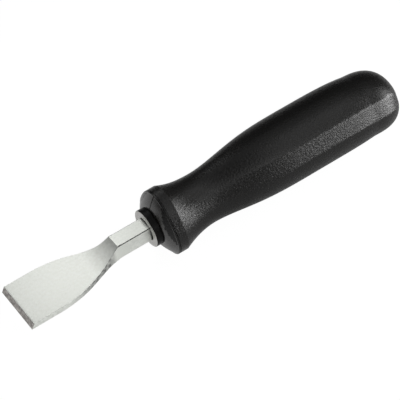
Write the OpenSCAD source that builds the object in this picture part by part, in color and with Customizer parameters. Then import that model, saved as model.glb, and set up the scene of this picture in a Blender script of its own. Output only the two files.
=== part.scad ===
// Flat scraper: a forged steel blade on a square shank, with a short collar
// and a moulded plastic handle with three flattened sides.
// Millimetres, +Z up, +X from the blade's working end to the butt of the handle.
// The blade's flat is level. The origin is under the middle of the tool, at the
// height of the handle's lowest line.

/* [Blade] */
// Width across the working end
blade_w = 20; // [14:1:26]
// Thickness of the flat
blade_t = 2.1; // [1.2:0.1:3.5]
// Length of the flat with parallel sides, from the working end
blade_straight = 11; // [6:0.5:30]
// Set-back of the ground end face between its lower and its upper edge
end_grind = 1.2; // [0.2:0.1:2]
// Radius of the shoulders, where the sides start to draw in
shoulder_r = 41; // [20:1:60]
// Radius at the neck, where the sides run out into the shank
neck_r = 22; // [8:1:40]
// Angle of the straight taper between these two radii
neck_angle = 21.5; // [18:0.5:30]
// Radius of the scoop that leads from the flat up to the top of the shank
scoop_r = 20; // [10:1:40]

/* [Shank] */
// Side of the square bar
shank_s = 6.1; // [5:0.1:8]
// Free length of the bar between the scoop and the collar
shank_len = 12.6; // [4:0.2:40]
// Radius on the long edges of the bar
shank_edge_r = 0.4; // [0.2:0.05:0.8]
// Length of the bar that is buried in the handle
tang_len = 50; // [25:1:60]
// Bevel on the buried end of the bar
tang_bevel = 0.8; // [0.2:0.1:1.5]
// Gap on each side between the bar and its pocket
tang_gap = 0.06; // [0.02:0.01:0.2]

/* [Collar] */
// Outer diameter
collar_d = 13.8; // [12:0.1:16]
// Length that stands out of the handle's face
collar_len = 2.6; // [1:0.1:8]
// Gap between the round bore and the rounded corners of the bar
collar_gap = 0.08; // [0.03:0.01:0.3]
// Bevel round the outer edge of its front
collar_bevel = 0.3; // [0.1:0.05:0.6]

/* [Handle] */
// Length from the edge of the face to the butt
handle_len = 98; // [80:1:120]
// Rise of the convex face, from its edge to its level middle
face_rise = 2.4; // [0.4:0.1:4]
// Radius of the level middle of the face, which the collar sits on
face_level_r = 7.3; // [6.9:0.1:9]
// Radius of the flange behind the face, over its lobes
flange_r = 12.8; // [11.5:0.1:14]
// Width of the flange's rim
rim_w = 4; // [3:0.1:7]
// Radius on the edge between the face and the rim
face_edge_r = 0.45; // [0.3:0.05:1.4]
// Distance of the waist from the face
waist_x = 17.2; // [12:0.1:25]
// Radius of the waist, over its lobes
waist_r = 9.7; // [8.6:0.1:11]
// Distance of the belly from the face
belly_x = 59; // [45:0.5:66]
// Radius of the belly, the thickest place
belly_r = 12.5; // [12.2:0.1:14.5]
// Length of the rounded butt
dome_len = 14; // [10:0.1:17]
// Radius where the rounded butt starts
butt_r = 11.8; // [10:0.1:12.2]
// Rise of the centre line at the belly
arch = 0.25; // [0:0.05:1]
// Drop of the centre line at the very end
droop = 2; // [0:0.1:3]

/* [Section] */
// How far the three sides are drawn in at the flange
side_flange = 1.85; // [0:0.05:2.4]
// How far the three sides are drawn in at the waist
side_waist = 0.75; // [0:0.05:1.2]
// Depth of the three flats at the belly
side_belly = 0.4; // [0.1:0.05:1]
// Depth of the three flats at the start of the rounded butt
side_butt = 0.45; // [0.1:0.05:1.2]
// Turn of the two upper flats from the level, in degrees
upper_turn = 25.5; // [20:0.5:30]
// Distance from the face at which the sides have become true flats
flats_x = 50; // [30:1:57]

/* [Curves] */
// Hollowness of the flare behind the rim
flare_p = 1.9; // [1.5:0.1:3]
// Earliness of the swell from the waist to the belly
swell_p = 1.75; // [1.2:0.05:2.5]
// Fullness of the line from the belly to the butt
taper_p = 4; // [2:0.1:5]
// Squareness of the rounded butt
dome_p = 2.8; // [2:0.1:3.4]
// Roundness of the convex face, where 1 is a plain cone
face_p = 1.4; // [1:0.1:2]

/* [Hidden] */
$fn = 96;
big = 200;
nip = 0.002;
half_s = shank_s/2;
bar_low = -half_s;
flat_top = bar_low+blade_t;

// Places along the tool, counted from the working end
shoulder_x = blade_straight+shoulder_r*sin(neck_angle);
shoulder_y = blade_w/2-shoulder_r*(1-cos(neck_angle));
neck_y = half_s+neck_r*(1-cos(neck_angle));
neck_x = shoulder_x+(shoulder_y-neck_y)/tan(neck_angle);
neck_end = neck_x+neck_r*sin(neck_angle);
scoop_end = neck_end-1.9;
scoop_rise = shank_s-blade_t;
scoop_start = scoop_end-sqrt(pow(scoop_r, 2)-pow(scoop_r-scoop_rise, 2));
collar_x = scoop_end+shank_len;
seat_x = collar_x+collar_len;
face_x = seat_x+face_rise;
tang_end = seat_x+tang_len;
total_len = face_x+handle_len;

// The bore clears the bar measured over its rounded corners
corner_r = sqrt(2)*(half_s-shank_edge_r)+shank_edge_r;
bore_r = corner_r+collar_gap;

// Steps of the handle's skin round the section and along each stretch
around = 72;
face_steps = 4;
edge_steps = 4;
rim_steps = 1;
flare_steps = 8;
swell_steps = 12;
taper_steps = 8;
dome_steps = 11;
dome_x = handle_len-dome_len;

// Blend on the edges of the flats, as a share of the radius
edge_blend = 0.012;

// The handle lies on the bottom flat of its belly
axis_height = belly_r-side_belly-arch;

// The tool's own frame: under the middle, at the height of the lowest line
module in_frame() {
    translate([-total_len/2, 0, axis_height]) children();
}

// Plan of the blade and neck, drawn on X and Y. Each arc and line runs a little
// past the next one, so that they cross at the joint and never just touch.
module plan() {
    slope = (shoulder_y-neck_y)/(neck_x-shoulder_x);
    line_start = shoulder_y-nip;
    line_end = neck_y+nip-slope;
    intersection() {
        translate([0, -blade_w/2]) square([neck_end, blade_w]);
        union() {
            translate([0, -blade_w/2]) square([blade_straight, blade_w]);
            intersection() {
                inside_both(blade_straight, blade_w/2-shoulder_r+nip, shoulder_r);
                translate([blade_straight-0.1, -blade_w])
                    square([shoulder_x-blade_straight+1, 2*blade_w]);
            }
            polygon([[shoulder_x, -line_start], [neck_x+1, -line_end],
                     [neck_x+1, line_end], [shoulder_x, line_start]]);
            difference() {
                translate([neck_x, -blade_w/2]) square([neck_end-neck_x, blade_w]);
                for (side = [-1, 1])
                    translate([neck_end, side*(half_s+neck_r)]) circle(r = neck_r);
            }
        }
    }
}

// What lies inside two equal circles, one below the tool's middle and one above
module inside_both(x, y, r) {
    intersection() {
        translate([x, y]) circle(r = r);
        translate([x, -y]) circle(r = r);
    }
}

// Side view of the same stretch, drawn on X and Z
module profile() {
    difference() {
        translate([0, bar_low]) square([neck_end, shank_s]);
        translate([-1, flat_top]) square([scoop_start+1, shank_s]);
        intersection() {
            translate([scoop_start, flat_top+scoop_r]) circle(r = scoop_r);
            translate([scoop_start-0.01, flat_top-0.01])
                square([scoop_end-scoop_start+0.01, scoop_rise+1]);
        }
        polygon([[-1, bar_low-blade_t*1/end_grind], [0, bar_low],
                 [end_grind, flat_top], [end_grind, flat_top+1], [-1, flat_top+1]]);
    }
}

// What rounding takes off one long edge of the bar
module edge_round(from, to, y_side, z_side) {
    c = half_s-shank_edge_r;
    translate([from, 0, 0])
        rotate([90, 0, 90])
            linear_extrude(to-from)
                difference() {
                    translate([y_side > 0 ? c : -c-1, z_side > 0 ? c : -c-1])
                        square(1);
                    translate([y_side*c, z_side*c]) circle(r = shank_edge_r, $fn = 32);
                }
}

// One forging: flat, neck, square bar and tang
module blade() {
    color([0.80, 0.81, 0.80])
        in_frame()
            difference() {
                union() {
                    intersection() {
                        translate([0, 0, bar_low-1]) linear_extrude(shank_s+2) plan();
                        translate([0, blade_w, 0])
                            rotate([90, 0, 0]) linear_extrude(2*blade_w) profile();
                    }
                    translate([scoop_end, -half_s, bar_low])
                        cube([tang_end-scoop_end, shank_s, shank_s]);
                }
                for (side = [-1, 1]) {
                    edge_round(scoop_end-1.5, tang_end+1, side, 1);
                    edge_round(neck_end, tang_end+1, side, -1);
                }
                for (turn = [0:90:270])
                    translate([tang_end, 0, 0])
                        rotate([turn, 0, 0])
                            translate([0, 0, half_s])
                                rotate([0, 45, 0])
                                    cube([3*tang_bevel, big, sqrt(2)*tang_bevel],
                                         center = true);
            }
}

// Short ring between the shank and the handle's face
module collar() {
    color([0.10, 0.10, 0.10])
        in_frame()
            translate([collar_x, 0, 0])
                rotate([0, 90, 0])
                    rotate_extrude()
                        polygon([[bore_r, 0],
                                 [collar_d/2-collar_bevel, 0],
                                 [collar_d/2, collar_bevel],
                                 [collar_d/2, collar_len],
                                 [bore_r, collar_len]]);
}

function smooth(t) = t*t*(3-2*t);
function mix(a, b, t) = a+(b-a)*smooth(t);

// The rules below take x, the distance behind the edge of the handle's face

// Radius over the lobes
function full_r(x) =
    x < rim_w ? flange_r :
    x < waist_x ? waist_r+(flange_r-waist_r)*pow((waist_x-x)/(waist_x-rim_w), flare_p) :
    x < belly_x ? mix(waist_r, belly_r, 1-pow(1-(x-waist_x)/(belly_x-waist_x), swell_p)) :
    x < dome_x ? belly_r-(belly_r-butt_r)*pow((x-belly_x)/(dome_x-belly_x), taper_p) :
    butt_r;

// How far the middles of the three sides lie inside that radius
function side_depth(x) =
    x < rim_w ? side_flange :
    x < waist_x ? mix(side_flange, side_waist, (x-rim_w)/(waist_x-rim_w)) :
    x < belly_x ? mix(side_waist, side_belly, (x-waist_x)/(belly_x-waist_x)) :
    x < dome_x ? mix(side_belly, side_butt, (x-belly_x)/(dome_x-belly_x)) :
    side_butt;

// Share of true flats in the section, which is a soft wave before the waist
function flat_share(x) =
    x < waist_x ? 0 : x < flats_x ? smooth((x-waist_x)/(flats_x-waist_x)) : 1;

// Height of the section's centre over the tool's axis
function centre_z(x) =
    x < waist_x ? 0 :
    x < belly_x ? mix(0, arch, (x-waist_x)/(belly_x-waist_x)) :
    arch-(arch+droop)*pow((x-belly_x)/(handle_len-belly_x), 3);

// What the rounded butt leaves of the section's size
function dome_share(x) =
    x <= dome_x ? 1 : pow(1-pow((x-dome_x)/dome_len, dome_p), 1/dome_p);

// Turn between direction a and the middle of the nearest flat
function off_flat(a) = min([for (m = [upper_turn, 180-upper_turn, 270])
    abs((a-m+540)%360-180)]);

// Radius of the section in direction a. One lobe is on top, one flat underneath.
function section_r(x, a) =
    let (full = full_r(x),
         depth = side_depth(x),
         wave = full-depth*(1-cos(3*(a-90)))/2,
         flat = (full-depth)/cos(off_flat(a)),
         blend = edge_blend*full,
         near = max(blend-abs(full-flat), 0)/blend,
         cut = min(full, flat)-near*near*blend/4)
    (wave+(cut-wave)*flat_share(x))*dome_share(x);

// A station is [distance, what the edge's radius takes off]
edge_stations = [for (i = [0:edge_steps-1]) let (a = 90-90*i/edge_steps)
    [face_edge_r*(1-sin(a)), face_edge_r*(1-cos(a))]];
function stretch(a, b, n) = [for (i = [0:n-1]) [a+(b-a)*i/n, 0]];
dome_stations = [for (i = [0:dome_steps-1])
    [dome_x+dome_len*pow(sin(90*i/dome_steps), 2/dome_p), 0]];
stations = concat(
    edge_stations,
    stretch(face_edge_r, rim_w, rim_steps),
    stretch(rim_w, waist_x, flare_steps),
    stretch(waist_x, belly_x, swell_steps),
    stretch(belly_x, dome_x, taper_steps),
    dome_stations);

function ring(s) = [for (j = [0:around-1])
    let (a = 360*j/around, r = section_r(s[0], a)-s[1])
    [s[0], r*cos(a), r*sin(a)+centre_z(s[0])]];

// Rings of the convex face, from its level middle at u = 0 to its edge at u = 1
function face_ring(u) = [for (j = [0:around-1])
    let (a = 360*j/around,
         r = face_level_r+(section_r(0, a)-face_edge_r-face_level_r)*u)
    [face_rise*(pow(u, face_p)-1), r*cos(a), r*sin(a)]];

skin_points = concat([for (i = [0:face_steps-1]) each face_ring(i/face_steps)],
                     [for (s = stations) each ring(s)],
                     [[handle_len, 0, centre_z(handle_len)]]);
rows = face_steps+len(stations);
function at(i, j) = i*around+j%around;
skin_faces = concat(
    [[for (j = [0:around-1]) j]],
    [for (i = [0:rows-2]) for (j = [0:around-1]) each
        [[at(i, j), at(i+1, j), at(i+1, j+1)], [at(i, j), at(i+1, j+1), at(i, j+1)]]],
    [for (j = [0:around-1]) [at(rows-1, j), rows*around, at(rows-1, j+1)]]);

// One moulding with a blind square pocket for the bar
module handle() {
    pocket = shank_s+2*tang_gap;
    color([0.13, 0.13, 0.135])
        in_frame()
            translate([face_x, 0, 0])
                difference() {
                    polyhedron(points = skin_points, faces = skin_faces, convexity = 4);
                    translate([-face_rise-1, -pocket/2, -pocket/2])
                        cube([tang_len+1, pocket, pocket]);
                }
}

blade();
collar();
handle();
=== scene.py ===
# %% [markdown]
# A flat scraper in three pieces
#
# The tool is a forged steel blade that runs into a square bar, a short black collar
# round the bar, and a moulded plastic handle with three flattened sides. The pieces
# could be drawn freely and scaled until they look right, but then their sizes drift.
# So the solid model of the tool is loaded first, and each finished piece is built
# over its own solid. The solids' box is kept.

# %% Load the solid model
import math
import bpy
import bmesh
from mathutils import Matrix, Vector


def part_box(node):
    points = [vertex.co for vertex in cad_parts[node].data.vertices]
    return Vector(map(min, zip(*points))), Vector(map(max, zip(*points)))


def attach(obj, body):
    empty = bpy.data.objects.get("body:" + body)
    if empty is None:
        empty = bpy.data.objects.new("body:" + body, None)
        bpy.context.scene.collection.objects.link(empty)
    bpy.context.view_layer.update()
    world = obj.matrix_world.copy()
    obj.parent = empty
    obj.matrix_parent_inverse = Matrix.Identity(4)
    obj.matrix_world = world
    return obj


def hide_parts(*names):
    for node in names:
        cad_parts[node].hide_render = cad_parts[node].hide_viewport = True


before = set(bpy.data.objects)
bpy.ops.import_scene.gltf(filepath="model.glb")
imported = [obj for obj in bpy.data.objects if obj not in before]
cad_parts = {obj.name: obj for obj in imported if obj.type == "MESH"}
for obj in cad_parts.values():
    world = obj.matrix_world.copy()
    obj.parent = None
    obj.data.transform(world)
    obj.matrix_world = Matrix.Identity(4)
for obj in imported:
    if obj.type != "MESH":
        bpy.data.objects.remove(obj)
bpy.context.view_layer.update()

# %% [markdown]
# Places on the tool
#
# A maker measures such a tool from its working end, in millimetres, and this file
# does the same. The solids give the places that the pieces share. The working end is
# the blade's lowest x, the handle's lowest x is its seat for the collar, and the long
# axis runs through the middle of the collar, because the collar is round. Two short
# functions turn a place into Blender's metres and back, so that no other step has to
# deal with units.

# %% Places that the pieces share
tip_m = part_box("blade")[0][0]
axis_m = (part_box("collar")[0][2]+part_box("collar")[1][2])/2


def on_tool(x, y, z):
    """A place in millimetres from the working end and the long axis, in metres."""
    return Vector((tip_m+x/1000, y/1000, axis_m+z/1000))


def off_tool(point):
    """The way back: a point in metres, as x, y and z in millimetres on the tool."""
    return (point[0]-tip_m)*1000, point[1]*1000, (point[2]-axis_m)*1000


collar_x = off_tool(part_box("collar")[0])[0]
seat_x = off_tool(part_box("handle")[0])[0]
tang_end = off_tool(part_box("blade")[1])[0]
print("collar starts at", round(collar_x, 2), "and the handle at", round(seat_x, 2))

# %% [markdown]
# The blade
#
# A smith draws the end of a square bar out into a flat. Seen from above, the sides
# open from the bar in a hollow curve, run straight for a little, and round over into
# the parallel sides of the flat. Seen from the side, the top drops from the bar to
# the flat in a circular scoop, while the underside stays one plane. A box with cuts
# taken out of it could give this form, but its edges are hard to soften where curves
# meet. A row of rings is easier, because along the length only a width and a height
# change. Seen from above, the arcs meet the straight lines without a kink, so where
# they end follows from their radii and one angle. The scoop leaves the flat just as
# gently, and ends in a line across the top of the bar.

# %% Sizes of the blade
half_bar = 3.05
flat_half, flat_len, flat_thick = 10.0, 11.0, 2.1
flat_top = flat_thick-half_bar
shoulder_r, neck_r, scoop_r = 41.0, 22.0, 20.0
taper = math.radians(21.5)
shoulder_end = flat_len+shoulder_r*math.sin(taper)
shoulder_half = flat_half-shoulder_r*(1-math.cos(taper))
neck_half = half_bar+neck_r*(1-math.cos(taper))
neck_start = shoulder_end+(shoulder_half-neck_half)/math.tan(taper)
neck_end = neck_start+neck_r*math.sin(taper)
scoop_lead = 1.9
scoop_end = neck_end-scoop_lead
scoop_start = scoop_end-math.sqrt(scoop_r**2-(scoop_r-half_bar+flat_top)**2)
print("scoop from", round(scoop_start, 1), "to", round(scoop_end, 1))

# %% [markdown]
# Width and height along the blade
#
# Two short rules say how wide the blade is on each side of its middle, and how high
# its top stands, at any place along it. A curve object with handles could hold the
# same outline, but a rule can be asked for its value anywhere, so rings can be put
# wherever they are needed.

# %% Width and top of the blade at a place
def blade_half_width(x):
    if x < flat_len:
        return flat_half
    if x < shoulder_end:
        return flat_half-shoulder_r+math.sqrt(shoulder_r**2-(x-flat_len)**2)
    if x < neck_start:
        return shoulder_half-(x-shoulder_end)*math.tan(taper)
    if x < neck_end:
        return half_bar+neck_r-math.sqrt(neck_r**2-(neck_end-x)**2)
    return half_bar


def blade_top(x):
    if x < scoop_start:
        return flat_top
    if x < scoop_end:
        return flat_top+scoop_r-math.sqrt(scoop_r**2-(x-scoop_start)**2)
    return half_bar


print("half a width of", round(blade_half_width(neck_start), 2), "where the neck begins")

# %% [markdown]
# One ring of the blade
#
# Cut across, the blade is a rectangle anywhere along its length. A real edge is never
# quite sharp, and its narrow round is what catches the light, so each corner of the
# rectangle is a small arc. A bevel modifier could round the edges later, but rounding
# the ring itself gives the same even strips from end to end. The working end is
# ground at a slant. That is made by leaning its rings, with the top set back in step
# with its height.

# %% One ring of the blade
edge_round = 0.12


def blade_ring(x, lean=0.0, inset=0.0, corner=edge_round, steps=4):
    """A rectangle with round corners at x. lean sets its top back, inset shrinks it."""
    half = blade_half_width(x)-inset
    low, high = -half_bar+inset, blade_top(x)-inset
    points = []
    for y, z, start in ((half, high, 0), (-half, high, 90), (-half, low, 180), (half, low, 270)):
        middle_y = y-math.copysign(corner, y)
        middle_z = z-corner if start < 180 else z+corner
        for i in range(steps+1):
            a = math.radians(start+90*i/steps)
            ring_y, ring_z = middle_y+corner*math.cos(a), middle_z+corner*math.sin(a)
            points.append(on_tool(x+lean*(ring_z+half_bar), ring_y, ring_z))
    return points


print("points in a ring of the blade:", len(blade_ring(flat_len)))

# %% [markdown]
# Where the rings of the blade stand
#
# Every ring costs triangles, so they stand close only where the form bends, along the
# shoulder and in the scoop. Two rings almost together, just before and just behind
# the end of the scoop, keep the line there crisp. Near that line the corners of the
# rings grow rounder, because the bar keeps the round corners it was drawn with.

# %% Places of the rings along the blade
def spread(first, last, steps):
    """Places behind first, up to last, in even steps."""
    return [first+(last-first)*i/steps for i in range(1, steps+1)]


first_neck_ring, line_gap, tang_bevel = 32.6, 0.02, 0.8
stops = [1.9, 3.0, 5.0, 8.0, flat_len]+spread(flat_len, shoulder_end, 14)
stops += [27.5, 28.5, 29.5, 30.5, 31.5, 32.3, first_neck_ring]
stops += spread(first_neck_ring, scoop_end-line_gap, 16)
stops += [scoop_end+line_gap+d for d in (0, 0.6, 1.2, scoop_lead-line_gap, 4, 8)]
stops += [collar_x, seat_x, tang_end-tang_bevel]
bar_round, round_run = 0.4, 1.2


def corner_at(x):
    """How round the corners are: fine on the flat, rounder from the bar on."""
    share = min(1.0, max(0.0, (x-scoop_end)/round_run+1))
    return edge_round+(bar_round-edge_round)*share


print(len(stops), "rings between the ground end and the end of the tang")

# %% [markdown]
# A skin over a row of rings
#
# All three pieces are long and change along their length, so one helper serves them
# all. It joins a row of closed rings, each with the same number of points, by faces
# with four sides. Blender can also bridge loops of edges by itself, but a loop in
# code always gives the same mesh, with even strips that shade smoothly.

# %% Skin a row of rings
def skin(name, rings, cap_start=True, cap_end=True, close=False):
    """A mesh over rings. The caps shut its ends, and close joins the last to the first."""
    work = bmesh.new()
    rows = [[work.verts.new(p) for p in ring] for ring in rings]
    count = len(rings[0])
    pairs = list(zip(rows, rows[1:]))
    if close:
        pairs.append((rows[-1], rows[0]))
    for a, b in pairs:
        for j in range(count):
            k = (j+1) % count
            work.faces.new((a[j], b[j], b[k], a[k]))
    if cap_start:
        work.faces.new(rows[0])
    if cap_end:
        work.faces.new(list(reversed(rows[-1])))
    bmesh.ops.recalc_face_normals(work, faces=work.faces)
    for face in work.faces:
        face.smooth = True
    mesh = bpy.data.meshes.new(name)
    work.to_mesh(mesh)
    work.free()
    piece = bpy.data.objects.new(name, mesh)
    bpy.context.scene.collection.objects.link(piece)
    print(name, "has", len(mesh.polygons), "faces")
    return piece


# %% [markdown]
# Edges that stay edges
#
# Smooth shading blurs light over every edge, also where the real piece has a corner.
# Faces could be shaded flat instead, but then the curves show their facets. So edges
# that turn by more than a set angle are marked as sharp, and a modifier lets large
# faces count for more in the shading than the narrow rounds beside them.

# %% Keep real edges crisp
def crisp(piece, degrees):
    """Edges that turn more than this many degrees shade as real edges."""
    piece.data.set_sharp_from_angle(angle=math.radians(degrees))
    even = piece.modifiers.new("even_shading", "WEIGHTED_NORMAL")
    even.keep_sharp = True
    even.weight = 80
    print(piece.name, "keeps edges of more than", degrees, "degrees")


# %% [markdown]
# The whole forging
#
# The flat, the neck, the bar and the tang are one piece of steel, so they are one
# mesh. It starts with the slanted ground end, whose first ring is a little smaller
# and makes the fine bevel that is left when the burr is stoned off, and it ends with
# the bevel on the tang, which lets the bar find its way into the handle.

# %% Build the blade from the ground end to the end of the tang
grind_back, end_bevel = 1.2, 0.08
end_lean = grind_back/flat_thick
rings = [blade_ring(0.0, end_lean, end_bevel, corner=0.06)]
rings += [blade_ring(end_bevel, end_lean, corner=0.1)]
rings += [blade_ring(x, corner=corner_at(x)) for x in stops]
rings += [blade_ring(tang_end, inset=tang_bevel, corner=0.2)]
blade = skin("blade_forging", rings)
crisp(blade, 33)

# %% [markdown]
# The collar
#
# A short turned ring. A lathe tool would cut its outline, and here the same outline,
# a narrow rectangle with its front corner rounded, is swung round the long axis. A
# cylinder with a hole cut through it would do as well, but its corners would have to
# be rounded afterwards. Each ring of points is one corner of the outline, swung
# round, so the same skin serves, with its last ring joined to its first. The round of
# the front corner is under a third of a millimetre, and five points are enough for it.
# One more ring on the level end keeps the shading of that round from spreading inward.

# %% Build the collar
bore_r, collar_r = 4.228, 6.9
bore_bevel, front_round, back_bevel, level_ring = 0.12, 0.3, 0.1, 1.3
collar_len = seat_x-collar_x
outline = [(bore_bevel, bore_r), (0.0, bore_r+bore_bevel), (0.0, bore_r+level_ring)]
outline += [(0.0, collar_r-front_round)]
outline += [(back, collar_r-down) for back, down in ((0.03, 0.18), (0.09, 0.09), (0.18, 0.03))]
outline += [(front_round, collar_r), (collar_len-back_bevel, collar_r)]
outline += [(collar_len, collar_r-back_bevel), (collar_len, bore_r)]
around_collar = 128
turn = [2*math.pi*j/around_collar for j in range(around_collar)]
rings = [[on_tool(collar_x+dx, r*math.cos(a), r*math.sin(a)) for a in turn] for dx, r in outline]
collar = skin("collar_ring", rings, cap_start=False, cap_end=False, close=True)
crisp(collar, 30)

# %% [markdown]
# The handle
#
# The handle is round at heart, with three flattened sides, one below and two above.
# It starts with a flange with a narrow rim, draws in to a waist for the fingers,
# swells to a belly for the palm, and ends in a rounded butt. It could be sculpted
# from a cylinder, but then its sizes are hard to hold. Rules are firmer: first come
# the sizes, and then the way in which each one eases into the next along the handle.
# Places are counted from the edge of its face.

# %% Sizes of the handle
face_rise = 2.4
face_x = seat_x+face_rise
rim_w, waist_at, flats_at, belly_at = 4.0, 17.2, 50.0, 59.0
handle_len, butt_len = 98.0, 14.0
butt_at = handle_len-butt_len
flange_r, waist_r, belly_r, butt_r = 12.8, 9.7, 12.5, 11.8
print("handle from", round(face_x, 2), "to", round(face_x+handle_len, 2))

# %% [markdown]
# How thick the handle is
#
# The first rule is the radius over the round parts of the section. Behind the rim it
# falls steeply and then levels out, as a flare does, which a power a little under two
# gives. From the waist it rises to the belly in one long swell, and then falls so
# gently that the back half looks almost straight.

# %% Radius over the round parts
def ease(t):
    """A share from 0 to 1 that starts and ends gently."""
    t = min(1.0, max(0.0, t))
    return t*t*(3-2*t)


def full_radius(x):
    if x <= rim_w:
        return flange_r
    if x < waist_at:
        return waist_r+(flange_r-waist_r)*((waist_at-x)/(waist_at-rim_w))**1.9
    if x < belly_at:
        swell = 1-((belly_at-x)/(belly_at-waist_at))**1.75
        return waist_r+(belly_r-waist_r)*ease(swell)
    if x < butt_at:
        return belly_r-(belly_r-butt_r)*((x-belly_at)/(butt_at-belly_at))**4
    return butt_r


print("radius at the waist:", round(full_radius(waist_at), 2))

# %% [markdown]
# How the sides flatten, and how the middle rises
#
# Three more things change along the handle. The flattened sides are deep at the
# flange and shallow at the belly. They start as a soft wave and turn into true flats.
# The middle of the section rises a little at the belly, so that the handle fills the
# palm, and drops at the butt. The end is rounded by a curve that is a little squarer
# than a half circle, as moulded grips are.

# %% Flattened sides, true flats, middle and butt
arch, droop, butt_power = 0.25, 2.0, 2.8


def along(x, table):
    """A value that eases from one (place, value) to the next."""
    for (x0, v0), (x1, v1) in zip(table, table[1:]):
        if x <= x1:
            return v0+(v1-v0)*ease((x-x0)/(x1-x0))
    return table[-1][1]


def side_depth(x):
    return along(x, [(rim_w, 1.85), (waist_at, 0.75), (belly_at, 0.4), (butt_at, 0.45)])


def flat_share(x):
    return along(x, [(waist_at, 0.0), (flats_at, 1.0)])


def middle_height(x):
    if x < belly_at:
        return arch*ease((x-waist_at)/(belly_at-waist_at))
    return arch-(arch+droop)*((x-belly_at)/(handle_len-belly_at))**3


def butt_share(x):
    return (1-(max(0.0, x-butt_at)/butt_len)**butt_power)**(1/butt_power)


print("flattened by", side_depth(rim_w), "at the flange and", side_depth(belly_at), "at the belly")

# %% [markdown]
# The section of the handle
#
# At the flange the section waves in and out three times, which is a circle less a
# cosine of three times the turn. At the belly it is a circle that three straight
# lines cut, and a small blend rounds the edge between line and circle. Both could be
# drawn as outlines and morphed, but as radii at a turn they can simply be mixed, in
# the share that the rule above gives.

# %% Radius of the handle at a place and a turn
flat_middles = (25.5, 154.5, 270)
blend_share = 0.01


def handle_radius(x, turn):
    """Radius of the handle at a place behind its face, at a turn in degrees."""
    full, depth = full_radius(x), side_depth(x)
    wave = full-depth*(1-math.cos(math.radians(3*(turn-90))))/2
    off = min(abs((turn-middle+180) % 360-180) for middle in flat_middles)
    flat = (full-depth)/math.cos(math.radians(off))
    blend = blend_share*full
    near = max(blend-abs(full-flat), 0.0)/blend
    cut = min(full, flat)-near*near*blend/4
    return (wave+(cut-wave)*flat_share(x))*butt_share(x)


print("radius at the top of the belly:", round(handle_radius(belly_at, 90), 2))

# %% [markdown]
# Where the rings of the handle stand
#
# The edge of the face is rolled over by a quarter circle, and a fine groove runs round
# just behind it. The rest follows the form, with rings close together in the flare and
# the swell. At the butt they crowd towards the end, where the surface turns fastest.
# Each station is a place and what is added to the radius there.

# %% Stations from the edge of the face to the butt
edge_r, rim_from, rim_back = 0.45, 0.9, 0.15
groove_from, groove_to, groove_side, groove_deep = edge_r+0.03, edge_r+0.41, 0.05, 0.25
stations = []
for i in range(7):
    a = math.pi/2*(1-i/6)
    stations.append((edge_r*(1-math.sin(a)), -edge_r*(1-math.cos(a))))
stations += [(groove_from, 0.0), (groove_from+groove_side, -groove_deep)]
stations += [(groove_to-groove_side, -groove_deep), (groove_to, 0.0)]
places = [rim_from]+spread(rim_from, rim_w-rim_back, 5)+[rim_w, rim_w+rim_back]
places += spread(rim_w+rim_back, waist_at, 26)+spread(waist_at, belly_at, 60)
places += spread(belly_at, butt_at, 32)
places += [butt_at+butt_len*math.sin(math.pi/2*i/30)**(2/butt_power) for i in range(1, 30)]
stations += [(x, 0.0) for x in places]
print("stations along the handle:", len(stations))

# %% [markdown]
# Rings of the handle
#
# Every ring of the handle has its points at the same turns, so that rings of quite
# different outlines still join cleanly. The convex face swells forward from its edge
# to a level middle, on which the collar sits. It is made of rings as well, and each
# of them is a share of the way from the level middle to the edge.

# %% One ring of the handle and one of its face
around_handle = 192
turns = [360*j/around_handle for j in range(around_handle)]
level_r = 7.3


def ring_at(x, radius_at, height=0.0):
    """A ring at x, where radius_at gives its radius at each turn."""
    ring = []
    for turn in turns:
        r, a = radius_at(turn), math.radians(turn)
        ring.append(on_tool(x, r*math.cos(a), r*math.sin(a)+height))
    return ring


def handle_ring(x, grow):
    return ring_at(face_x+x, lambda turn: handle_radius(x, turn)+grow, middle_height(x))


def face_ring(u):
    """The convex face, from its level middle at u = 0 to its edge at u = 1."""
    return ring_at(face_x-face_rise*(1-u**1.4),
                   lambda turn: level_r+(handle_radius(0.0, turn)-edge_r-level_r)*u)


print("points in a ring of the handle:", len(turns))

# %% [markdown]
# The moulding with its blind pocket
#
# The bar is driven into a square pocket that stops inside the handle. A boolean cut
# could make it, but it would leave long thin triangles in the face. Here the row of
# rings starts at the bottom of the pocket, runs out to its mouth, turns back over the
# face and goes on to the butt, so the whole moulding is one clean skin. A square ring
# is a radius too: half the side, divided by the larger of cosine and sine.

# %% Build the handle
pocket_half = half_bar+0.06
land_r, last_r = 6.0, 0.02


def square_radius(turn):
    a = math.radians(turn)
    return pocket_half/max(abs(math.cos(a)), abs(math.sin(a)))


rings = [ring_at(tang_end, square_radius), ring_at(seat_x, square_radius)]
rings += [ring_at(seat_x, lambda turn: land_r)]
rings += [face_ring(i/8) for i in range(8)]
rings += [handle_ring(x, grow) for x, grow in stations]
rings += [ring_at(face_x+handle_len, lambda turn: last_r, -droop)]
handle = skin("handle_moulding", rings)
crisp(handle, 18)

# %% [markdown]
# Finished pieces for solids
#
# Each finished piece takes the place of its own solid in the picture. The solids stay
# in the physics model, where plain forms are what is wanted. Nothing on this tool
# moves, so all three pieces ride on the one body.

# %% Put the pieces in place of their solids
for piece, node, slot in ((blade, "blade", "blade_steel"),
                          (collar, "collar", "collar_black"),
                          (handle, "handle", "handle_plastic")):
    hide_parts(node)
    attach(piece, "root")
    print(piece.name, "stands for", node)

# %% [markdown]
# Finishes
#
# A finish is a material made of nodes. Pictures could be wrapped round the pieces
# instead, but they blur up close. All patterns here read the object's own
# coordinates, so they keep their scale and stay on the piece from every side. The
# first helper starts a finish, and the second gives the coordinates, stretched where
# a pattern has a direction.

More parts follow.
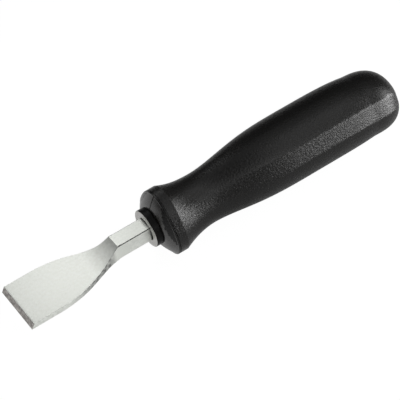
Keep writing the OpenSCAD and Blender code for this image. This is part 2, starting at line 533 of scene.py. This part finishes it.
# %% Start a finish
def finish(name):
    """A new material, its tree of nodes and its shader."""
    material = bpy.data.materials.new(name)
    material.use_nodes = True
    print("made", name)
    return material, material.node_tree, material.node_tree.nodes["Principled BSDF"]


def object_place(tree, stretch=(1, 1, 1)):
    """The object's own coordinates. A pattern runs long where stretch is small."""
    place = tree.nodes.new("ShaderNodeTexCoord")
    node = tree.nodes.new("ShaderNodeMapping")
    node.inputs["Scale"].default_value = stretch
    tree.links.new(place.outputs["Object"], node.inputs["Vector"])
    return node.outputs["Vector"]


print("materials before the finishes:", len(bpy.data.materials))

# %% [markdown]
# Clouds and their range
#
# Nothing a maker handles is one even colour. Noise gives soft clouds, and its scale
# says how many fit into a metre: 1000 is about one to a millimetre. A second node
# stretches the middle of the noise to the range that is wanted.

# %% Noise and its range
def noise(tree, where, scale, detail, rough=0.55):
    """Soft clouds, so many to a metre. More detail adds smaller clouds to them."""
    node = tree.nodes.new("ShaderNodeTexNoise")
    node.inputs["Scale"].default_value = scale
    node.inputs["Detail"].default_value = detail
    node.inputs["Roughness"].default_value = rough
    tree.links.new(where, node.inputs["Vector"])
    return node.outputs["Fac"]


def remap(tree, value, low, high, to_low, to_high):
    """A value from low to high, as a value from to_low to to_high."""
    node = tree.nodes.new("ShaderNodeMapRange")
    for key, number in (("From Min", low), ("From Max", high),
                        ("To Min", to_low), ("To Max", to_high)):
        node.inputs[key].default_value = number
    tree.links.new(value, node.inputs["Value"])
    return node.outputs["Result"]


print("a cloud of scale 850 is about", round(1000/850, 1), "mm across")

# %% [markdown]
# Two colours and a relief
#
# A finish mostly needs two near colours, mixed by a cloud, and a relief that bends
# the light as if the surface had height. Real height would need far more triangles
# for grain this fine. The depth of a relief is written in metres.

# %% Colours and relief
def two_tone(tree, value, dark, light):
    """A colour that goes from dark to light as the value goes from 0 to 1."""
    node = tree.nodes.new("ShaderNodeMix")
    node.data_type = "RGBA"
    node.inputs["A"].default_value = (*dark, 1)
    node.inputs["B"].default_value = (*light, 1)
    tree.links.new(value, node.inputs["Factor"])
    return node.outputs["Result"]


def relief(tree, height, depth, below=None):
    """A relief of that depth in metres, on top of another where one is given."""
    node = tree.nodes.new("ShaderNodeBump")
    node.inputs["Strength"].default_value = 1.0
    node.inputs["Distance"].default_value = depth
    tree.links.new(height, node.inputs["Height"])
    if below is not None:
        tree.links.new(below, node.inputs["Normal"])
    return node.outputs["Normal"]


print("faces to be coated:", sum(len(p.data.polygons) for p in (blade, collar, handle)))

# %% [markdown]
# Which faces get a finish
#
# One forging can carry several finishes. They could be blended inside one material,
# but separate materials on separate faces are easier to change. The first finish of
# a piece covers all of it, and each later one takes the faces that a short test picks
# by where they are on the tool and which way they face.

# %% Coat a piece or some of its faces
def coat(piece, material, picks=None):
    """Add a finish. picks says, from a face's place and normal, if it is coated."""
    piece.data.materials.append(material)
    index = len(piece.data.materials)-1
    coated = 0
    for face in piece.data.polygons:
        if picks is None or picks(Vector(off_tool(face.center)), face.normal):
            face.material_index = index
            coated += 1
    print(material.name, "covers", coated, "faces")


# %% [markdown]
# Satin steel
#
# The blade is polished to a satin shine: it mirrors the light broadly, with clouds a
# millimetre or so across and a very fine grain along its length. The metal could be
# one grey with a rough shine, but it would look like paint. So colour and shine
# follow the same cloud, and the grain is a relief of a hundredth of a millimetre.

# %% Satin steel of the blade
steel, tree, shader = finish("satin_blade_steel")
shader.inputs["Metallic"].default_value = 1.0
cloud = noise(tree, object_place(tree), 850, 6)
grain = noise(tree, object_place(tree, (0.25, 1, 1)), 5200, 3)
tone = two_tone(tree, remap(tree, cloud, 0.36, 0.64, 0, 1),
                (0.73, 0.75, 0.705), (0.86, 0.878, 0.835))
tree.links.new(tone, shader.inputs["Base Color"])
tree.links.new(remap(tree, cloud, 0.3, 0.7, 0.42, 0.5), shader.inputs["Roughness"])
tree.links.new(relief(tree, grain, 0.000012), shader.inputs["Normal"])
coat(blade, steel)

# %% [markdown]
# The ground end
#
# The working end is ground and left as the wheel leaves it, darker and rougher than
# the polished flat. A pattern of straight scratches would be the first thought, but
# on a face two millimetres high they read as mottled grey, so noise is enough.

# %% Ground end of the blade
ground, tree, shader = finish("ground_blade_end")
shader.inputs["Metallic"].default_value = 1.0
marks = noise(tree, object_place(tree), 1100, 3)
tone = two_tone(tree, remap(tree, marks, 0.36, 0.64, 0, 1), (0.34, 0.32, 0.305), (0.66, 0.63, 0.60))
tree.links.new(tone, shader.inputs["Base Color"])
shader.inputs["Roughness"].default_value = 0.45
tree.links.new(relief(tree, marks, 0.00002), shader.inputs["Normal"])
coat(blade, ground, lambda spot, normal: normal.x < -0.6 and spot.x < 2)

# %% [markdown]
# A finish that knows where it is
#
# Some finishes cover only a stretch of a piece, or a narrow line on it. Such a place
# could be painted on, but the object's own coordinates already hold it. One helper
# takes a single coordinate out of them, and the other does a step of arithmetic.

# %% One coordinate and one step of arithmetic
def coordinate(tree, where, axis):
    """One of the object's own coordinates, in metres."""
    parts = tree.nodes.new("ShaderNodeSeparateXYZ")
    tree.links.new(where, parts.inputs["Vector"])
    return parts.outputs[axis]


def maths(tree, operation, *values):
    """One step of arithmetic on numbers or the outputs of nodes."""
    node = tree.nodes.new("ShaderNodeMath")
    node.operation = operation
    for socket, value in zip(node.inputs, values):
        if isinstance(value, (int, float)):
            socket.default_value = value
        else:
            tree.links.new(value, socket)
    return node.outputs["Value"]


print("the neck runs from", round(neck_start, 1), "to", round(neck_end, 1))

# %% [markdown]
# Forging scale and painted shade
#
# The side walls of the neck are darkened in patches. Part of it is the dark skin that
# fire leaves on steel and polishing takes off the top. Part is painted shade: the walls
# are darkened where they would mirror the shaded floor under the neck. They could be
# painted by hand, but rules are quicker to change: the darkening fades in along the
# shoulder and out before the bar, and in between noise breaks it up. All three are
# shares, so they are multiplied.

# %% Forging scale and painted shade on the side walls of the neck
# Painted shade mixed with forging scale: a dark base colour in patches on the neck's side walls.
scale, tree, shader = finish("neck_wall_scale_and_painted_shade")
shader.inputs["Metallic"].default_value = 1.0
where = object_place(tree)
starts, full, thins, gone = [tip_m+x/1000 for x in (15, 26, 34.5, 37.5)]
x_place = coordinate(tree, where, "X")
rise = remap(tree, x_place, starts, full, 0, 1)
fall = remap(tree, x_place, thins, gone, 1, 0)
spots = remap(tree, noise(tree, where, 800, 4), 0.35, 0.6, 0.45, 1.0)
scale_and_painted_shade = maths(tree, "MULTIPLY", maths(tree, "MULTIPLY", rise, fall), spots)
tree.links.new(two_tone(tree, scale_and_painted_shade, (0.79, 0.81, 0.765), (0.16, 0.16, 0.155)),
               shader.inputs["Base Color"])
shader.inputs["Roughness"].default_value = 0.5
wall_from, wall_to = 14, neck_end+2
coat(blade, scale, lambda spot, normal: abs(normal.y) > 0.75 and wall_from < spot.x < wall_to)

# %% [markdown]
# Painted shade on the edges of the bar
#
# The round upper edges of the bar are painted a dark, dull metal, so that a shaded
# line runs along each instead of a glint. A thin strip of mesh could be laid there,
# but the narrow faces of the rounded corners are already in the right place, so they
# only need a finish.

# %% Painted shade on the upper edges of the bar
painted_edge_shade, tree, shader = finish("painted_shade_bar_edge")
shader.inputs["Metallic"].default_value = 1.0
smear = noise(tree, object_place(tree), 900, 3)
# Painted shade: a near-black metal along the bar's round upper edges, broken up by noise.
tone = two_tone(tree, remap(tree, smear, 0.3, 0.7, 0, 1), (0.04, 0.04, 0.038), (0.16, 0.16, 0.155))
tree.links.new(tone, shader.inputs["Base Color"])
shader.inputs["Roughness"].default_value = 0.6
edge_from = half_bar-0.3


def on_bar_edge(spot, normal):
    in_corner = abs(spot.y) > edge_from and spot.z > edge_from and spot.x > scoop_end
    return in_corner and abs(normal.y) > 0.1 and normal.z > 0.1


coat(blade, painted_edge_shade, on_bar_edge)

# %% [markdown]
# The collar's black barrel
#
# The barrel of the collar is blackened and nearly as dark as the handle, so little
# light may come back from it. A black with full gloss would mirror the softboxes, so
# the share of mirrored light is set low, and a faint smear keeps it from being flat.

# %% Black barrel of the collar
barrel, tree, shader = finish("black_collar_barrel")
smear = noise(tree, object_place(tree), 700, 4)
tree.links.new(two_tone(tree, smear, (0.006, 0.006, 0.006), (0.012, 0.012, 0.012)),
               shader.inputs["Base Color"])
tree.links.new(remap(tree, smear, 0.3, 0.7, 0.3, 0.36), shader.inputs["Roughness"])
shader.inputs["Specular IOR Level"].default_value = 0.08
coat(collar, barrel)

# %% [markdown]
# The collar's bright end
#
# The front of the ring is turned after blackening, so bare metal shows there, a
# middle grey with a fine shine. It takes the faces that look towards the blade.

# %% Turned end of the collar
turned, tree, shader = finish("turned_collar_end")
shader.inputs["Metallic"].default_value = 1.0
smear = noise(tree, object_place(tree), 900, 4)
tree.links.new(two_tone(tree, smear, (0.43, 0.425, 0.41), (0.52, 0.515, 0.50)),
               shader.inputs["Base Color"])
tree.links.new(remap(tree, smear, 0.3, 0.7, 0.28, 0.4), shader.inputs["Roughness"])
coat(collar, turned, lambda spot, normal: normal.x < -0.7 and spot.x < collar_x+1)

# %% [markdown]
# Spark-textured plastic
#
# The mould of such a handle is roughened by sparks, which gives the plastic a fine
# leathery grain for grip. It shows where the plastic mirrors a light, as small bright
# specks. Real pits would take millions of triangles, so two layers of noise make a
# relief: pits of about two thirds of a millimetre, and a finer roughness below them.
# The shine wanders with the pits. The black itself is very dark, with a trace of
# brown.

# %% Spark-textured plastic of the handle
plastic, tree, shader = finish("textured_handle_plastic")
where = object_place(tree)
pits = noise(tree, where, 1500, 2, 0.5)
fine = noise(tree, where, 4200, 2, 0.5)
cloud = noise(tree, where, 120, 4)
tree.links.new(two_tone(tree, cloud, (0.0088, 0.0085, 0.0082), (0.0118, 0.0115, 0.011)),
               shader.inputs["Base Color"])
tree.links.new(remap(tree, pits, 0.3, 0.7, 0.24, 0.36), shader.inputs["Roughness"])
tree.links.new(relief(tree, pits, 0.0001, relief(tree, fine, 0.00003)), shader.inputs["Normal"])
shader.inputs["Specular IOR Level"].default_value = 0.32
coat(handle, plastic)

# %% [markdown]
# The smooth face of the handle
#
# The face round the collar comes from a polished part of the mould, so it has no
# grain and looks a little greyer. The two halves of the mould leave a fine parting
# line across it, upright through the middle. That line could be cut into the mesh,
# but a relief that dips where the distance from the middle is under a quarter of a
# millimetre does the same for no triangles.

# %% Smooth face with the parting line
smooth_plastic, tree, shader = finish("smooth_handle_face")
where = object_place(tree)
cloud = noise(tree, where, 300, 3)
tree.links.new(two_tone(tree, cloud, (0.020, 0.0178, 0.0162), (0.026, 0.0235, 0.0215)),
               shader.inputs["Base Color"])
aside = maths(tree, "ABSOLUTE", coordinate(tree, where, "Y"))
parting = remap(tree, aside, 0.00014, 0.00026, 0, 1)
tree.links.new(relief(tree, parting, 0.00012), shader.inputs["Normal"])
tree.links.new(remap(tree, parting, 0, 1, 0.1, 1.0), shader.inputs["Specular IOR Level"])
tree.links.new(remap(tree, cloud, 0.3, 0.7, 0.22, 0.3), shader.inputs["Roughness"])
coat(handle, smooth_plastic, lambda spot, normal: normal.x < -0.8 and spot.x < face_x+0.1)

# %% [markdown]
# The floor
#
# The tool lies on a plain white floor, with only its own soft shadow. More light
# would make the floor white too, but it would bleach the steel. So the floor glows
# by itself for the camera, and stays a matt board that takes the shadow and returns
# light for everything else.

# %% Lay the floor
bpy.ops.mesh.primitive_plane_add(size=6, location=(0, 0, 0))
floor = bpy.context.object
floor.name = "studio_floor"
pale, tree, shader = finish("pale_floor")
shader.inputs["Base Color"].default_value = (0.93, 0.93, 0.93, 1)
shader.inputs["Roughness"].default_value = 0.9
shader.inputs["Specular IOR Level"].default_value = 0.0
floor.data.materials.append(pale)

# %% [markdown]
# How the floor is seen
#
# The light path says what kind of ray has met the floor. A ray from the camera sees
# nearly all of its glow, and so does one that has come through glass. A ray that was
# mirrored by the tool sees half of it under the blade, which stays above the floor,
# and very little beside the handle, which lies on it in its own shade.

# %% Mix the glow by kind of ray
camera_share, blade_share, handle_share = 0.9, 0.5, 0.04
open_until, shaded_from = -0.02, 0.005
x_place = coordinate(tree, object_place(tree), "X")
mirrored = remap(tree, x_place, open_until, shaded_from, blade_share, handle_share)
rays = tree.nodes.new("ShaderNodeLightPath").outputs
direct = maths(tree, "MULTIPLY", rays["Is Camera Ray"], camera_share)
through = maths(tree, "MULTIPLY", rays["Is Transmission Ray"], camera_share)
reflected = maths(tree, "MULTIPLY", rays["Is Glossy Ray"], mirrored)
seen = maths(tree, "MAXIMUM", maths(tree, "MAXIMUM", direct, through), reflected)
glow = tree.nodes.new("ShaderNodeEmission")
glow.inputs["Color"].default_value = (1, 1, 1, 1)
glow.inputs["Strength"].default_value = 1.08
mix = tree.nodes.new("ShaderNodeMixShader")
tree.links.new(seen, mix.inputs["Fac"])
tree.links.new(shader.outputs["BSDF"], mix.inputs[1])
tree.links.new(glow.outputs["Emission"], mix.inputs[2])
tree.links.new(mix.outputs["Shader"], tree.nodes["Material Output"].inputs["Surface"])
print("floor laid")

# %% [markdown]
# The air of the studio
#
# A bright world would light the tool evenly and hide its form. So the room is nearly
# dark, with just enough light to keep the blackest places from closing up, and the
# form is drawn by softboxes.

# %% A dim room
world = bpy.data.worlds.new("studio_air")
world.use_nodes = True
background = world.node_tree.nodes["Background"]
background.inputs["Color"].default_value = (1, 1, 1, 1)
background.inputs["Strength"].default_value = 0.04
bpy.context.scene.world = world
print("a dim room")

# %% [markdown]
# A softbox by compass
#
# A softbox is an even square of light. What it does to satin steel or black plastic
# depends on where its mirror image falls, so each one is placed by the spot that it
# faces, a compass direction, a height and a distance. Its power is worked out from
# its size, so that glow is how bright it looks, with 1 as white. Small bright boxes
# far off would give hard glints, and large near ones give soft bands.

# %% Place a softbox
def softbox(name, aim_mm, azimuth_deg, height_deg, distance_mm, width_mm, tall_mm, glow):
    """An even square of light that faces a spot. The azimuth turns from +Y to +X."""
    data = bpy.data.lights.new(name, "AREA")
    data.shape = "RECTANGLE"
    data.size, data.size_y = width_mm/1000, tall_mm/1000
    data.energy = glow*math.pi*data.size*data.size_y
    lamp = bpy.data.objects.new(name, data)
    turn, rise = math.radians(azimuth_deg), math.radians(height_deg)
    away = Vector((math.sin(turn)*math.cos(rise), math.cos(turn)*math.cos(rise), math.sin(rise)))
    lamp.location = on_tool(*aim_mm)+away*distance_mm/1000
    lamp.rotation_euler = away.to_track_quat("Z", "Y").to_euler()
    lamp.visible_camera = False
    bpy.context.scene.collection.objects.link(lamp)
    print(name, "at", [round(v, 2) for v in lamp.location])


# %% [markdown]
# Light for the steel
#
# The level flat of the blade mirrors what stands right across from the camera, at the
# same height, so one near softbox there makes it bright from end to end. The scoop
# leans towards the working end and mirrors a place further round on that side. A
# second, dimmer softbox stands there, and the fall from bright to grey shows the
# hollow.

# %% Softboxes for the blade
softbox("softbox_blade", (16, -3, 0), 25, 48, 120, 72, 66, 1.75)
softbox("softbox_scoop", (32, 0, 0), 330, 42, 220, 110, 110, 0.95)

# %% [markdown]
# Light for the handle
#
# Black plastic shows little but mirror images, so its form is drawn by bands of light.
# A long low box on the right makes the bright band along the near side, and most of
# the light on the flare. A large high one gives the upper side its grey. The others
# are dim or small, and open places that would stay black, such as the waist, the
# flare behind the flange and the turn of the butt.

# %% Softboxes for the handle
softbox("softbox_low_right", (100, 0, 0), 130, 4, 600, 580, 84, 16.5)
softbox("softbox_front", (100, 0, 0), 170, 28, 600, 200, 160, 1.9)
softbox("softbox_high_right", (90, 0, 0), 120, 60, 600, 320, 320, 1.0)
softbox("softbox_top", (90, 0, 0), 55, 68, 600, 400, 400, 0.35)
softbox("softbox_flare", (60, 0, 0), 108, 20, 600, 220, 200, 4.8)
softbox("softbox_waist", (60, 0, 0), 158, 42, 600, 300, 320, 0.9)
softbox("softbox_butt", (145, -5, 0), 120, -2, 95, 66, 17, 13.0)

# %% [markdown]
# The camera
#
# The tool is seen from the side and well above, turned a little towards its working
# end, and through a long lens, so that its lines stay nearly parallel. The angles, the
# lens and the small shift were fitted to the corners and outlines of the tool in the
# photograph. A camera could be placed by its coordinates, but aiming it at a spot on
# the long axis and stepping back along one direction is easier to read.

# %% Camera
aim, distance_m = (72.89, 0, 0), 0.60411
azimuth, elevation, lean = math.radians(27.04), math.radians(47.59), math.radians(-9.51)
back = Vector((-math.sin(azimuth)*math.cos(elevation), -math.cos(azimuth)*math.cos(elevation),
               math.sin(elevation)))
optics = bpy.data.cameras.new("photo_camera")
optics.sensor_width, optics.lens = 36, 160.57
optics.shift_x, optics.shift_y = 0.0024, -0.0042
optics.clip_start, optics.clip_end = 0.01, 20
camera = bpy.data.objects.new("photo_camera", optics)
camera.location = on_tool(*aim)+back*distance_m
camera.rotation_euler = back.to_track_quat("Z", "Y").to_euler()
camera.rotation_euler.rotate_axis("Z", lean)
bpy.context.scene.collection.objects.link(camera)
bpy.context.scene.camera = camera
bpy.context.scene.view_settings.view_transform = "Standard"
print("camera", round(distance_m, 3), "m from its aim")
